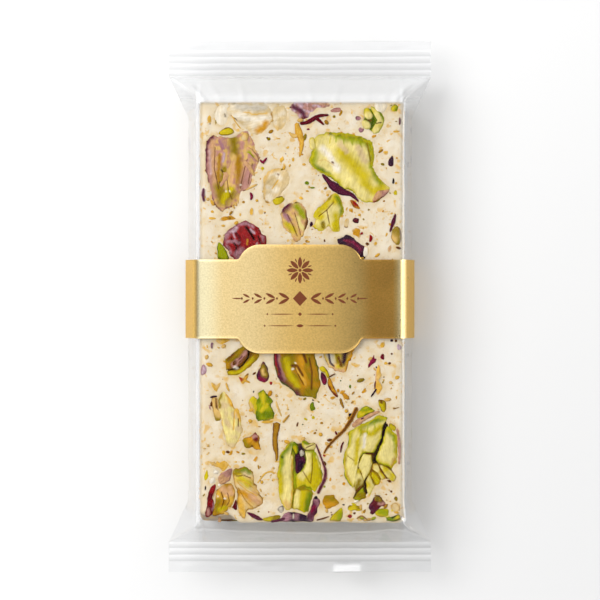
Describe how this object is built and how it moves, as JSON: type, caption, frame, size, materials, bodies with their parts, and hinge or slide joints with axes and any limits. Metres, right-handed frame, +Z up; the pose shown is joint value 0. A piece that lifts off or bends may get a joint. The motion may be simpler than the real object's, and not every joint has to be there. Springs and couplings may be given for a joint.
{
  "type": "nougat bar",
  "caption": "Flat nougat bar with nuts, fruit and petals, sealed in a clear pouch with crimped ends, with a gold card sleeve round its middle.",
  "frame": {"origin": "on the surface the pack lies on, under the middle of its length and width", "axes": "+Y along the pack towards its upper seal, +X across it, +Z up out of its face"},
  "size_m": [0.0594, 0.12, 0.0141],
  "materials": {
    "clear_film": "clear glossy film drawn over cream nougat",
    "gold_card": "satin gold card with a fine embossed grain",
    "brown_print": "matt brown print",
    "nougat": "cream, matt, slightly waxy",
    "pistachio": "cut kernels, yellow-green with a darker rim",
    "nut_skin": "thin purple-brown nut skin",
    "almond": "pale sliced nut with a tan rim",
    "dried_fruit": "dark red, wrinkled and glossy",
    "petal": "dry magenta petal",
    "caramel": "golden brown crumbs and smears"
  },
  "bodies": {
    "root": {"film_pack": "clear_film", "label_band": "gold_card"}
  },
  "joints": []
}
